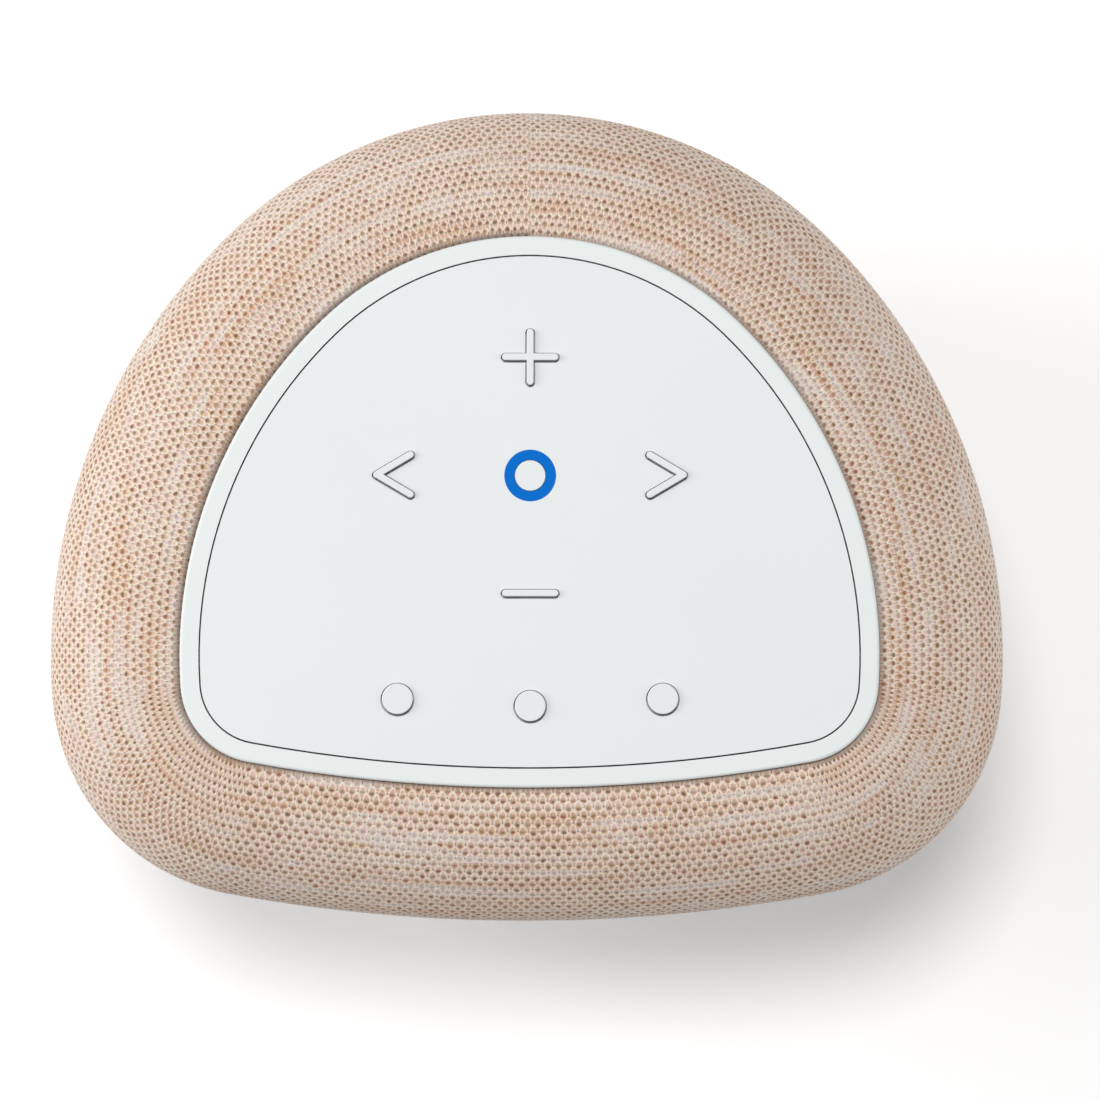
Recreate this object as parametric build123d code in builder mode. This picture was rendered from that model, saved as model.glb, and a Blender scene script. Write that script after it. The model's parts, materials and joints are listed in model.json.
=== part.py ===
from build123d import *
from math import atan2, cos, degrees, hypot, radians, sin
import os

# Tabletop smart speaker with a D-shaped plan: near-straight front, rounded back.
# Millimetres, +Z up, front towards -Y. Origin at the centre of the footprint, on the table.

os.makedirs("parts", exist_ok=True)

# ---- Driving dimensions ----

# Panel outline: four tangent arcs on each side. Every other outline is an offset of it.
front_radius = 327.0
front_turn = 10.4
corner_radius = 13.4
corner_turn = 75.7
side_radius = 95.0
side_turn = 49.9

# Body profile, as an offset outwards from the panel outline against height
rim_width = 4.0
shoulder_top = 175.7
shoulder_radius = 29.75
wall_radius = 836.7
wall_turn = 8.0
lower_radius = 15.0
lower_turn = 60.0

fabric_thickness = 1.0
shell_inset = 1.1
shell_thickness = 2.2
band_inset = 0.2
band_thickness = 2.5

# Control panel and keys
panel_top = 177.0
panel_thickness = 2.2
panel_gap = 0.35
lip_thickness = 1.2
bezel_wall = 1.4
bezel_outer_rounding = 0.7
bezel_inner_rounding = 0.15
stroke = 2.1
bar_length = 12.55
key_gap = 0.32
key_lean = 0.2
key_proud = 0.7
key_rounding = 0.22
flange_overlap = 0.8
action_overlap = 0.75
flange_thickness = 0.8
flange_clearance = 0.2
preset_radius = 3.58
ring_centre = (0, 7.6)
ring_outer = 5.5
ring_inner = 3.35
action_radius = 3.25
arrow_apex = 32.5
arrow_reach = 7.1
arrow_rise = 4.2

# Heights of what lies under the panel
board_thickness = 1.6
board_bottom = 170.0
mat_bottom = 172.7
mat_thickness = 0.4
tray_floor = 164.0
ring_bottom = 172.3
tray_thickness = 2.0
tray_wall = 2.3
flange_width = 9.5

# Bottom of the body
foot_height = 2.5
base_bottom = 1.5
base_top = 9.0
base_grow = 12.5
floor_bottom = 17.0
floor_top = 20.0
floor_grow = 16.2
spigot_height = 10.5
spigot_grow = 21.5

# Speaker box and drivers
box_top = 150.0
box_grow = 11.0
box_wall = 2.5
driver_height = 100.0
boss_grow = 13.5
boss_radius = 32.0
boss_depth = 10.0
driver_hole = 24.5
woofer_hole = 50.0
woofer_screw_circle = 52.5
driver_screw_circle = 27.0

# Mains inlet at the back
inlet_height = 40.0
inlet_width = 32.0
inlet_tall = 18.0
inlet_face = 83.6
pin_spacing = 8.6

# ---- Worked-out places ----

heading_1 = radians(front_turn)
heading_2 = radians(front_turn + corner_turn)
heading_3 = radians(front_turn + corner_turn + side_turn)
side_end_x = (
    front_radius * sin(heading_1)
    + corner_radius * (sin(heading_2) - sin(heading_1))
    + side_radius * (sin(heading_3) - sin(heading_2))
)
back_radius = side_end_x / sin(heading_3)
side_start_y = front_radius * (1 - cos(heading_1)) + corner_radius * (cos(heading_1) - cos(heading_2))
outline_depth = (
    side_start_y
    + side_radius * (cos(heading_2) - cos(heading_3))
    + back_radius * (1 + cos(heading_3))
)
front_y = -outline_depth / 2
back_y = outline_depth / 2
widest_y = front_y + side_start_y + side_radius * cos(heading_2)
widest_x = (
    front_radius * sin(heading_1)
    + corner_radius * (sin(heading_2) - sin(heading_1))
    + side_radius * (1 - sin(heading_2))
)
board_top = board_bottom + board_thickness
panel_bottom = panel_top - panel_thickness
flange_top = panel_bottom - flange_clearance
flange_bottom = flange_top - flange_thickness
key_top = panel_top + key_proud
shell_inner = shell_inset + shell_thickness
woofer_seat = floor_top + 1.0
section = Plane(origin=(0, front_y, 0), x_dir=(0, -1, 0), z_dir=(-1, 0, 0))


def outline(grow):
    """Draw the panel outline, grown outwards, in the open BuildLine."""
    front = JernArc((0, front_y - grow), (1, 0), front_radius + grow, front_turn)
    corner = JernArc(front @ 1, front % 1, corner_radius + grow, corner_turn)
    side = JernArc(corner @ 1, corner % 1, side_radius + grow, side_turn)
    last_turn = 180 - front_turn - corner_turn - side_turn
    JernArc(side @ 1, side % 1, back_radius + grow, last_turn)
    mirror(about=Plane.YZ)


def outline_face(grow, mode=Mode.ADD):
    """Fill the grown panel outline in the open BuildSketch."""
    with BuildLine() as edge:
        outline(grow)
    make_face(edge.edges(), mode=mode)


def ring_of_points(grow, places):
    """Points on the grown outline at the given shares of its length."""
    with BuildLine() as ring:
        outline(grow)
    wire = ring.wires()[0]
    return [wire.position_at(place) for place in places]


def wall_section(outer, inner, start):
    """Draw the body wall between two insets, from a level lip at offset start down to its foot."""
    edges = []
    for inset in (outer, inner):
        lip = (rim_width, shoulder_top - inset)
        top = JernArc(lip, (1, 0), shoulder_radius - inset, -90)
        side = JernArc(top @ 1, top % 1, wall_radius - inset, -wall_turn)
        Line((start, shoulder_top - inset), lip)
        edges.append(side @ 1)
    Line((start, shoulder_top - outer), (start, shoulder_top - inner))
    Line(edges[0], edges[1])


with BuildLine() as edge_builder:
    outline(0)
panel_edge = edge_builder.wires()[0]

# ---- Key shapes, drawn in the open BuildSketch ----


def minus_shape(grow):
    SlotOverall(bar_length + 2 * grow, stroke + 2 * grow)


def plus_shape(grow):
    SlotOverall(bar_length + 2 * grow, stroke + 2 * grow)
    SlotOverall(bar_length + 2 * grow, stroke + 2 * grow, rotation=90)


def round_shape(grow):
    Circle(preset_radius + grow)


def arrow_shape(grow, side):
    """Two strokes that meet at an apex pointing towards side."""
    length = hypot(arrow_reach, arrow_rise)
    slope = degrees(atan2(arrow_rise, arrow_reach))
    for way in (1, -1):
        with Locations((side * (arrow_apex - arrow_reach / 2), way * arrow_rise / 2)):
            SlotCenterToCenter(length, stroke + 2 * grow, rotation=-side * way * slope)


def previous_shape(grow):
    arrow_shape(grow, -1)


def next_shape(grow):
    arrow_shape(grow, 1)


keys = {
    "plus_key": (0, 32.6, plus_shape),
    "minus_key": (0, -17.5, minus_shape),
    "previous_key": (0, ring_centre[1], previous_shape),
    "next_key": (0, ring_centre[1], next_shape),
    "preset_key_1": (-28.1, -39.9, round_shape),
    "preset_key_2": (0, -41.4, round_shape),
    "preset_key_3": (28.1, -39.9, round_shape),
}
# Where each key presses its switch
press_points = [
    (0, 32.6),
    (0, -17.5),
    (-30.5, ring_centre[1]),
    (30.5, ring_centre[1]),
    (-28.1, -39.9),
    (0, -41.4),
    (28.1, -39.9),
]

# ---- Control panel ----

with BuildPart() as control_panel:
    with BuildSketch(Plane.XY.offset(panel_bottom)):
        outline_face(-panel_gap)
    extrude(amount=panel_thickness)
    with BuildSketch(Plane.XY.offset(panel_bottom)):
        for x, y, shape in keys.values():
            with Locations((x, y)):
                shape(0)
        with Locations(ring_centre):
            Circle(ring_outer)
    extrude(amount=panel_thickness, mode=Mode.SUBTRACT)
control_panel.part.label = "control_panel"
export_step(control_panel.part, "parts/control_panel.step")

for name, (x, y, shape) in keys.items():
    with BuildPart() as key:
        with BuildSketch(Plane.XY.offset(flange_bottom)):
            with Locations((x, y + key_lean)):
                shape(flange_overlap)
        extrude(amount=flange_thickness)
        with BuildSketch(Plane.XY.offset(flange_top)):
            with Locations((x, y + key_lean)):
                shape(-key_gap)
        extrude(amount=key_top - flange_top)
        fillet(key.faces().sort_by(Axis.Z)[-1].edges(), key_rounding)
    key.part.label = name
    export_step(key.part, f"parts/{name}.step")

with BuildPart() as action_key:
    with BuildSketch(Plane.XY.offset(flange_bottom)):
        with Locations(ring_centre):
            Circle(action_radius + action_overlap)
    extrude(amount=flange_thickness)
    with BuildSketch(Plane.XY.offset(flange_bottom)):
        with Locations(ring_centre):
            Circle(action_radius)
    extrude(amount=panel_top - flange_bottom)
    chamfer(action_key.faces().sort_by(Axis.Z)[-1].edges(), 0.1)
action_key.part.label = "action_key"
export_step(action_key.part, "parts/action_key.step")

# The diffuser ring fills its hole in the panel and stands on the ring lamps
with BuildPart() as light_ring:
    with BuildSketch(Plane.XY.offset(ring_bottom)):
        with Locations(ring_centre):
            Circle(ring_outer + 1.5)
    extrude(amount=panel_bottom - ring_bottom)
    with BuildSketch(Plane.XY.offset(panel_bottom)):
        with Locations(ring_centre):
            Circle(ring_outer)
    extrude(amount=panel_thickness)
    with BuildSketch(Plane.XY.offset(ring_bottom)):
        with Locations(ring_centre):
            Circle(ring_inner)
    extrude(amount=panel_top, mode=Mode.SUBTRACT)
    with BuildSketch(Plane.XY.offset(ring_bottom)):
        with Locations(ring_centre):
            Circle(ring_inner + 0.95)
    extrude(amount=flange_top + flange_clearance - ring_bottom, mode=Mode.SUBTRACT)
light_ring.part.label = "light_ring"
export_step(light_ring.part, "parts/light_ring.step")

# Rim around the panel: a lip over the fabric's edge and a wall that stands on the tray's flange
with BuildPart() as top_bezel:
    with BuildSketch(section) as bezel_section:
        with BuildLine():
            Polyline(
                (0, tray_floor),
                (bezel_wall, tray_floor),
                (bezel_wall, panel_top - lip_thickness),
                (rim_width, panel_top - lip_thickness),
                (rim_width, panel_top),
                (0, panel_top),
                close=True,
            )
        make_face()
        top_corners = bezel_section.vertices().sort_by(Axis.Y)[-2:].sort_by(Axis.X)
        fillet(top_corners[1], bezel_outer_rounding)
        fillet(top_corners[0], bezel_inner_rounding)
    sweep(path=panel_edge)
top_bezel.part.label = "top_bezel"
export_step(top_bezel.part, "parts/top_bezel.step")

# ---- Under the panel ----

# Silicone mat with a dome under each key, and its own small dome inside the light ring
with BuildPart() as key_mat:
    with BuildSketch(Plane.XY.offset(mat_bottom)):
        outline_face(-7)
        with Locations(ring_centre):
            Circle(ring_outer + 1.8, mode=Mode.SUBTRACT)
    extrude(amount=mat_thickness)
    with BuildSketch(Plane.XY.offset(mat_bottom + mat_thickness)):
        with Locations(*press_points):
            Circle(2.2)
    extrude(amount=flange_bottom - mat_bottom - mat_thickness, taper=18)
    with BuildSketch(Plane.XY.offset(mat_bottom)):
        with Locations(ring_centre):
            Circle(2.4)
    extrude(amount=flange_bottom - mat_bottom, taper=18)
key_mat.part.label = "key_mat"
export_step(key_mat.part, "parts/key_mat.step")

with BuildPart() as key_switches:
    with BuildSketch(Plane.XY.offset(board_top)):
        with Locations(ring_centre, *press_points):
            RectangleRounded(3.6, 3.6, 0.4)
    extrude(amount=0.8)
    with BuildSketch(Plane.XY.offset(board_top + 0.8)):
        with Locations(ring_centre, *press_points):
            Circle(1.0)
    extrude(amount=mat_bottom - board_top - 0.8)
key_switches.part.label = "key_switches"
export_step(key_switches.part, "parts/key_switches.step")

stake_points = [(-58, -30), (58, -30), (-48, 22), (48, 22), (0, 46)]
ribbon_place = (0, -29)
with BuildPart() as control_board:
    with BuildSketch(Plane.XY.offset(board_bottom)):
        outline_face(-3)
        with Locations(*stake_points):
            Circle(1.3, mode=Mode.SUBTRACT)
    extrude(amount=board_thickness)
control_board.part.label = "control_board"
export_step(control_board.part, "parts/control_board.step")

with BuildPart() as ring_leds:
    with Locations((*ring_centre, board_top + 0.25)):
        with PolarLocations(4.9, 8):
            Box(1.1, 0.9, 0.5)
ring_leds.part.label = "ring_leds"
export_step(ring_leds.part, "parts/ring_leds.step")

# Four microphones near the edge of the board, heard through the gap around the panel
with BuildPart() as microphones:
    with Locations((0, -3, board_top + 0.5)):
        with GridLocations(100, 0, 2, 1):
            Box(2.7, 3.5, 1.0)
    with Locations((-14, 44, board_top + 0.5), (14, -49, board_top + 0.5)):
        Box(3.5, 2.7, 1.0)
microphones.part.label = "microphones"
export_step(microphones.part, "parts/microphones.step")

# Tray that closes the top of the body: the panel lies on its wall, the board on its stakes
boss_places = (0.06, 0.2, 0.38, 0.62, 0.8, 0.94)
boss_screw_grow = 6.5
with BuildPart() as control_tray:
    with BuildSketch(Plane.XY.offset(tray_floor - tray_thickness)):
        outline_face(flange_width)
    extrude(amount=tray_thickness)
    with BuildSketch(Plane.XY.offset(tray_floor)):
        outline_face(-0.1)
        outline_face(-tray_wall, mode=Mode.SUBTRACT)
    extrude(amount=panel_bottom - tray_floor)
    with BuildSketch(Plane.XY.offset(tray_floor)):
        with Locations(*stake_points):
            Circle(3.0)
    extrude(amount=board_bottom - tray_floor)
    with BuildSketch(Plane.XY.offset(board_bottom)):
        with Locations(*stake_points):
            Circle(1.2)
    extrude(amount=board_thickness + 0.8)
    with BuildSketch(Plane.XY.offset(tray_floor - tray_thickness)):
        with Locations(ribbon_place):
            RectangleRounded(20, 4, 1.5)
        with Locations(*ring_of_points(boss_screw_grow, boss_places)):
            Circle(1.7)
    extrude(amount=tray_thickness, mode=Mode.SUBTRACT)
control_tray.part.label = "control_tray"
export_step(control_tray.part, "parts/control_tray.step")

with BuildPart() as tray_screws:
    with BuildSketch(Plane.XY.offset(tray_floor - tray_thickness)):
        with Locations(*ring_of_points(boss_screw_grow, boss_places)):
            Circle(2.8)
    extrude(amount=-1.8)
    fillet(tray_screws.faces().sort_by(Axis.Z)[0].edges(), 0.5)
    with BuildSketch(Plane.XY.offset(tray_floor - tray_thickness)):
        with Locations(*ring_of_points(boss_screw_grow, boss_places)):
            Circle(1.3)
    extrude(amount=9)
tray_screws.part.label = "tray_screws"
export_step(tray_screws.part, "parts/tray_screws.step")

# ---- Body ----


def inlet_window(clearance):
    """Cut the mains inlet's window through the back of the open BuildPart's wall."""
    with BuildSketch(Plane.XZ.offset(-inlet_face - 5)) as window:
        with Locations((0, inlet_height)):
            RectangleRounded(inlet_width + 2 * clearance, inlet_tall + 2 * clearance, 6)
    extrude(window.sketch, amount=20, mode=Mode.SUBTRACT)


with BuildPart() as fabric_sleeve:
    with BuildSketch(section):
        with BuildLine():
            wall_section(0, fabric_thickness, bezel_wall + 0.4)
        make_face()
    sweep(path=panel_edge)
    inlet_window(0.2)
fabric_sleeve.part.label = "fabric_sleeve"
export_step(fabric_sleeve.part, "parts/fabric_sleeve.step")

# Plastic skeleton that the fabric is stretched over, slotted in front of each driver
slot_width = 3.0
slot_pitch = 6.0
slot_count = 10
with BuildPart() as grille_shell:
    with BuildSketch(section):
        with BuildLine():
            wall_section(shell_inset, shell_inner, bezel_wall + 0.5)
        make_face()
    sweep(path=panel_edge)
    with BuildSketch(Plane.XY.offset(tray_floor)):
        with Locations(*ring_of_points(boss_screw_grow, boss_places)):
            Circle(3.2)
    extrude(amount=9)
    with BuildSketch(Plane.XY.offset(tray_floor)):
        with Locations(*ring_of_points(boss_screw_grow, boss_places)):
            Circle(1.4)
    extrude(amount=7.5, mode=Mode.SUBTRACT)
    inlet_window(0.4)
    with Locations((0, front_y - 30, driver_height)):
        with GridLocations(slot_pitch, 1, slot_count, 1):
            Box(slot_width, 30, 50, mode=Mode.SUBTRACT)
    with Locations((-widest_x - 30, widest_y, driver_height), (widest_x + 30, widest_y, driver_height)):
        with GridLocations(1, slot_pitch, 1, slot_count):
            Box(30, slot_width, 50, mode=Mode.SUBTRACT)
grille_shell.part.label = "grille_shell"
export_step(grille_shell.part, "parts/grille_shell.step")

# Driver seats: a plane on each mounting face, looking outwards
front_seat = Plane(origin=(0, front_y - boss_grow, driver_height), x_dir=(1, 0, 0), z_dir=(0, -1, 0))
left_seat = Plane(
    origin=(-widest_x - boss_grow, widest_y, driver_height), x_dir=(0, -1, 0), z_dir=(-1, 0, 0)
)
right_seat = Plane(
    origin=(widest_x + boss_grow, widest_y, driver_height), x_dir=(0, 1, 0), z_dir=(1, 0, 0)
)
seats = {"front": front_seat, "left": left_seat, "right": right_seat}
standoff_points = [(-45, -30), (45, -30), (-34, 24), (34, 24)]

# Sealed box that holds the drivers, open at the bottom over the woofer
with BuildPart() as speaker_box:
    with BuildSketch(Plane.XY.offset(floor_top)):
        outline_face(box_grow)
    extrude(amount=box_top - floor_top)
    for seat in seats.values():
        with BuildSketch(seat):
            Circle(boss_radius)
        extrude(amount=-boss_depth)
    with BuildSketch(Plane.XY.offset(floor_top)):
        outline_face(box_grow - box_wall)
    extrude(amount=box_top - floor_top - box_wall, mode=Mode.SUBTRACT)
    for seat in seats.values():
        with BuildSketch(seat):
            Circle(boss_radius)
        extrude(amount=-boss_depth)
        with BuildSketch(seat):
            Circle(driver_hole)
        extrude(amount=-boss_depth, mode=Mode.SUBTRACT)
        with BuildSketch(seat):
            with PolarLocations(driver_screw_circle, 4, start_angle=45):
                Circle(1.1)
        extrude(amount=-boss_depth + 2, mode=Mode.SUBTRACT)
    with BuildSketch(Plane.XY.offset(box_top)):
        with Locations(*standoff_points):
            Circle(3.0)
    extrude(amount=2)
speaker_box.part.label = "speaker_box"
export_step(speaker_box.part, "parts/speaker_box.step")

# Floor of the body with the band that shows below the fabric
spacer_points = [(-66, -36), (66, -36), (-26, -54), (26, -54), (-54, 22), (54, 22)]
with BuildPart() as lower_housing:
    with BuildSketch(section):
        with BuildLine():
            ends = []
            for inset in (band_inset, band_inset + band_thickness):
                lip = (rim_width, shoulder_top - inset)
                top = JernArc(lip, (1, 0), shoulder_radius - inset, -90, mode=Mode.PRIVATE)
                side = JernArc(top @ 1, top % 1, wall_radius - inset, -wall_turn, mode=Mode.PRIVATE)
                band = JernArc(side @ 1, side % 1, lower_radius - inset, -lower_turn)
                ends.append(band)
            Line(ends[0] @ 0, ends[1] @ 0)
            Line(ends[0] @ 1, ends[1] @ 1)
        make_face()
    sweep(path=panel_edge)
    with BuildSketch(Plane.XY.offset(floor_bottom)):
        outline_face(floor_grow)
    extrude(amount=floor_top - floor_bottom)
    with BuildSketch(Plane.XY.offset(floor_top)):
        outline_face(spigot_grow)
        outline_face(spigot_grow - band_thickness, mode=Mode.SUBTRACT)
    extrude(amount=spigot_height)
    with BuildSketch(Plane.XY.offset(floor_top)):
        with Locations(*spacer_points):
            Circle(3.0)
    extrude(amount=10)
    with BuildSketch(Plane.XY.offset(floor_bottom)):
        with Locations(*spacer_points):
            Circle(1.35)
    extrude(amount=12, mode=Mode.SUBTRACT)
    with BuildSketch(Plane.XY.offset(floor_bottom)):
        Circle(woofer_hole)
        with PolarLocations(woofer_screw_circle, 6, start_angle=30):
            Circle(1.2)
    extrude(amount=floor_top - floor_bottom, mode=Mode.SUBTRACT)
lower_housing.part.label = "lower_housing"
export_step(lower_housing.part, "parts/lower_housing.step")

# ---- Small drivers, one behind the front and one behind each side ----

for side_name, seat in seats.items():
    profile = Plane(origin=seat.origin, x_dir=seat.x_dir, z_dir=-seat.y_dir)
    axle = Axis(seat.origin, seat.z_dir)

    with BuildPart() as driver_frame:
        with BuildSketch(profile):
            with BuildLine():
                Polyline(
                    (22.8, 0), (22.8, 1.5), (29.5, 1.5), (29.5, 0), (24.3, 0),
                    (15.6, -16), (15.6, -17.2), (10.2, -17.2), (10.2, -16), (14.2, -16), close=True,
                )
            make_face()
        revolve(axis=axle)
        with BuildSketch(seat.offset(-3)):
            with PolarLocations(20, 4):
                RectangleRounded(12, 16, 2)
        extrude(amount=-11, mode=Mode.SUBTRACT)
        with BuildSketch(seat):
            with PolarLocations(driver_screw_circle, 4, start_angle=45):
                Circle(1.3)
        extrude(amount=1.5, mode=Mode.SUBTRACT)
    driver_frame.part.label = f"{side_name}_driver_frame"
    export_step(driver_frame.part, f"parts/{side_name}_driver_frame.step")

    with BuildPart() as driver_motor:
        with BuildSketch(profile):
            with BuildLine():
                Polyline(
                    (0, -17.2), (8.4, -17.2), (8.4, -27), (9.7, -27), (9.7, -17.2),
                    (17, -17.2), (17, -31), (0, -31), close=True,
                )
            make_face()
        revolve(axis=axle)
        fillet(driver_motor.edges().filter_by(GeomType.CIRCLE).group_by(SortBy.RADIUS)[-1], 0.8)
    driver_motor.part.label = f"{side_name}_driver_motor"
    export_step(driver_motor.part, f"parts/{side_name}_driver_motor.step")

    # Cone, dust cap and voice coil move as one
    with BuildPart() as driver_cone:
        with BuildSketch(profile):
            with BuildLine():
                cap = JernArc((0, -3.6), (1, 0), 13.34, -47.9)
                back = JernArc((0, -4.1), (1, 0), 12.84, -43.57)
                Polyline(cap @ 1, (18.9, 0.8), (18.9, 0.2), (9.2, -9.4), (9.2, -22), (8.85, -22), back @ 1)
                Line((0, -4.1), (0, -3.6))
            make_face()
        revolve(axis=axle)
    driver_cone.part.label = f"{side_name}_driver_cone"
    export_step(driver_cone.part, f"parts/{side_name}_driver_cone.step")

    # Half-roll rubber surround, with a collar that stands round the edge of the cone
    with BuildPart() as driver_surround:
        with BuildSketch(profile):
            with BuildLine():
                Polyline((19.7, 1.5), (19.7, 0.2), (19.2, 0.2), (19.2, 1.5))
                ThreePointArc((19.2, 1.5), (21.2, 3.7), (23.21, 1.9))
                Polyline((23.21, 1.9), (24.6, 1.9), (24.6, 1.5), (22.75, 1.5))
                ThreePointArc((22.75, 1.5), (21.2, 3.2), (19.7, 1.5))
            make_face()
        revolve(axis=axle)
    driver_surround.part.label = f"{side_name}_driver_surround"
    export_step(driver_surround.part, f"parts/{side_name}_driver_surround.step")

with BuildPart() as driver_screws:
    for seat in seats.values():
        with BuildSketch(seat.offset(1.5)):
            with PolarLocations(driver_screw_circle, 4, start_angle=45):
                Circle(2.1)
        extrude(amount=1.5)
        with BuildSketch(seat.offset(1.5)):
            with PolarLocations(driver_screw_circle, 4, start_angle=45):
                Circle(1.0)
        extrude(amount=-8.5)
driver_screws.part.label = "driver_screws"
export_step(driver_screws.part, "parts/driver_screws.step")

# ---- Woofer, firing down. Profiles are (radius, height above its seat) ----

woofer_profile = Plane(origin=(0, 0, woofer_seat), x_dir=(1, 0, 0), z_dir=(0, -1, 0))
plate_bottom = 31.0
plate_top = 36.0
magnet_top = 50.0
yoke_top = 55.0

with BuildPart() as woofer_gasket:
    with BuildSketch(Plane.XY.offset(floor_top)):
        Circle(54.8)
        Circle(50.2, mode=Mode.SUBTRACT)
        with PolarLocations(woofer_screw_circle, 6, start_angle=30):
            Circle(1.5, mode=Mode.SUBTRACT)
    extrude(amount=woofer_seat - floor_top)
woofer_gasket.part.label = "woofer_gasket"
export_step(woofer_gasket.part, "parts/woofer_gasket.step")

with BuildPart() as woofer_basket:
    with BuildSketch(woofer_profile):
        with BuildLine():
            Polyline(
                (47, 0), (55, 0), (55, 2), (50, 2), (25.5, 29), (25.5, plate_bottom),
                (15.5, plate_bottom), (15.5, 29.5), (23.6, 29.5), (47, 3.4), close=True,
            )
        make_face()
    revolve(axis=Axis.Z)
    with BuildSketch(Plane.XY.offset(woofer_seat + 7)):
        with PolarLocations(38, 6):
            RectangleRounded(19, 20, 3)
    extrude(amount=16, mode=Mode.SUBTRACT)
    with BuildSketch(Plane.XY.offset(woofer_seat)):
        with PolarLocations(woofer_screw_circle, 6, start_angle=30):
            Circle(1.6)
    extrude(amount=2, mode=Mode.SUBTRACT)
woofer_basket.part.label = "woofer_basket"
export_step(woofer_basket.part, "parts/woofer_basket.step")

with BuildPart() as woofer_top_plate:
    with BuildSketch(Plane.XY.offset(woofer_seat + plate_bottom)):
        Circle(34)
        Circle(13.7, mode=Mode.SUBTRACT)
    extrude(amount=plate_top - plate_bottom)
    chamfer(woofer_top_plate.edges().filter_by(GeomType.CIRCLE).group_by(SortBy.RADIUS)[-1], 0.6)
woofer_top_plate.part.label = "woofer_top_plate"
export_step(woofer_top_plate.part, "parts/woofer_top_plate.step")

with BuildPart() as woofer_magnet:
    with BuildSketch(Plane.XY.offset(woofer_seat + plate_top)):
        Circle(36)
        Circle(17, mode=Mode.SUBTRACT)
    extrude(amount=magnet_top - plate_top)
    chamfer(woofer_magnet.edges().filter_by(GeomType.CIRCLE).group_by(SortBy.RADIUS)[-1], 1.0)
woofer_magnet.part.label = "woofer_magnet"
export_step(woofer_magnet.part, "parts/woofer_magnet.step")

with BuildPart() as woofer_yoke:
    with BuildSketch(Plane.XY.offset(woofer_seat + magnet_top)):
        Circle(34)
    extrude(amount=yoke_top - magnet_top)
    fillet(woofer_yoke.faces().sort_by(Axis.Z)[-1].edges(), 1.5)
    with BuildSketch(Plane.XY.offset(woofer_seat + plate_bottom)):
        Circle(12.2)
    extrude(amount=magnet_top - plate_bottom)
woofer_yoke.part.label = "woofer_yoke"
export_step(woofer_yoke.part, "parts/woofer_yoke.step")

# Cone, dust cap and voice coil move as one
with BuildPart() as woofer_cone:
    with BuildSketch(woofer_profile):
        with BuildLine():
            cap = JernArc((0, 13.5), (1, 0), 26.1, 33.7)
            back = JernArc((0, 14.1), (1, 0), 25.5, 30)
            Polyline(cap @ 1, (39.3, 0.4), (39.3, 1.4), (13.1, 19.9), (13.1, 39), (12.75, 39), back @ 1)
            Line((0, 14.1), (0, 13.5))
        make_face()
    revolve(axis=Axis.Z)
woofer_cone.part.label = "woofer_cone"
export_step(woofer_cone.part, "parts/woofer_cone.step")

with BuildPart() as woofer_surround:
    with BuildSketch(woofer_profile):
        with BuildLine():
            Polyline((40.2, -0.8), (40.2, 0.6), (39.6, 0.6), (39.6, -0.8))
            ThreePointArc((39.6, -0.8), (43.4, -4.7), (47.25, -0.8))
            Polyline((47.25, -0.8), (49.7, -0.8), (49.7, -0.05), (46.65, -0.05), (46.65, -0.8))
            ThreePointArc((46.65, -0.8), (43.4, -4.1), (40.2, -0.8))
        make_face()
    revolve(axis=Axis.Z)
woofer_surround.part.label = "woofer_surround"
export_step(woofer_surround.part, "parts/woofer_surround.step")

# Corrugated spider that centres the voice coil
with BuildPart() as woofer_spider:
    spider_height = 25.0
    crest = 1.4
    with BuildSketch(woofer_profile):
        with BuildLine():
            upper = [(13.4, spider_height)]
            upper += [(15.5 + 2 * turn, spider_height + crest * (turn % 2)) for turn in range(6)]
            upper += [(27.6, spider_height)]
            lower = [(radius, height - 0.6) for radius, height in reversed(upper)]
            Polyline(*upper, *lower, close=True)
        make_face()
    revolve(axis=Axis.Z)
woofer_spider.part.label = "woofer_spider"
export_step(woofer_spider.part, "parts/woofer_spider.step")

with BuildPart() as woofer_screws:
    with BuildSketch(Plane.XY.offset(woofer_seat + 2)):
        with PolarLocations(woofer_screw_circle, 6, start_angle=30):
            Circle(2.2)
    extrude(amount=1.8)
    fillet(woofer_screws.faces().sort_by(Axis.Z)[-6:].edges(), 0.5)
    with BuildSketch(Plane.XY.offset(woofer_seat + 2)):
        with PolarLocations(woofer_screw_circle, 6, start_angle=30):
            Circle(1.1)
    extrude(amount=-5.5)
woofer_screws.part.label = "woofer_screws"
export_step(woofer_screws.part, "parts/woofer_screws.step")

# ---- Electronics ----

main_bottom = box_top + 2
main_top = main_bottom + board_thickness
with BuildPart() as main_board:
    with BuildSketch(Plane.XY.offset(main_bottom)):
        outline_face(-6)
    extrude(amount=board_thickness)
main_board.part.label = "main_board"
export_step(main_board.part, "parts/main_board.step")

with BuildPart() as amplifier_heatsink:
    with Locations((-30, 2, main_top + 1)):
        Box(38, 26, 2)
    with Locations((-30, 2, main_top + 4.5)):
        with GridLocations(5, 0, 8, 1):
            Box(1.2, 26, 5)
amplifier_heatsink.part.label = "amplifier_heatsink"
export_step(amplifier_heatsink.part, "parts/amplifier_heatsink.step")

with BuildPart() as shield_cans:
    with Locations((28, 14, main_top + 1.5)):
        Box(26, 20, 3)
    with Locations((30, -16, main_top + 1.1)):
        Box(18, 14, 2.2)
    fillet(shield_cans.edges().filter_by(Axis.Z), 1.0)
shield_cans.part.label = "shield_cans"
export_step(shield_cans.part, "parts/shield_cans.step")

with BuildPart() as wifi_antenna:
    with Locations((0, 38, main_top + 3.4)):
        Box(40, 1, 6.8)
wifi_antenna.part.label = "wifi_antenna"
export_step(wifi_antenna.part, "parts/wifi_antenna.step")

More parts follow.
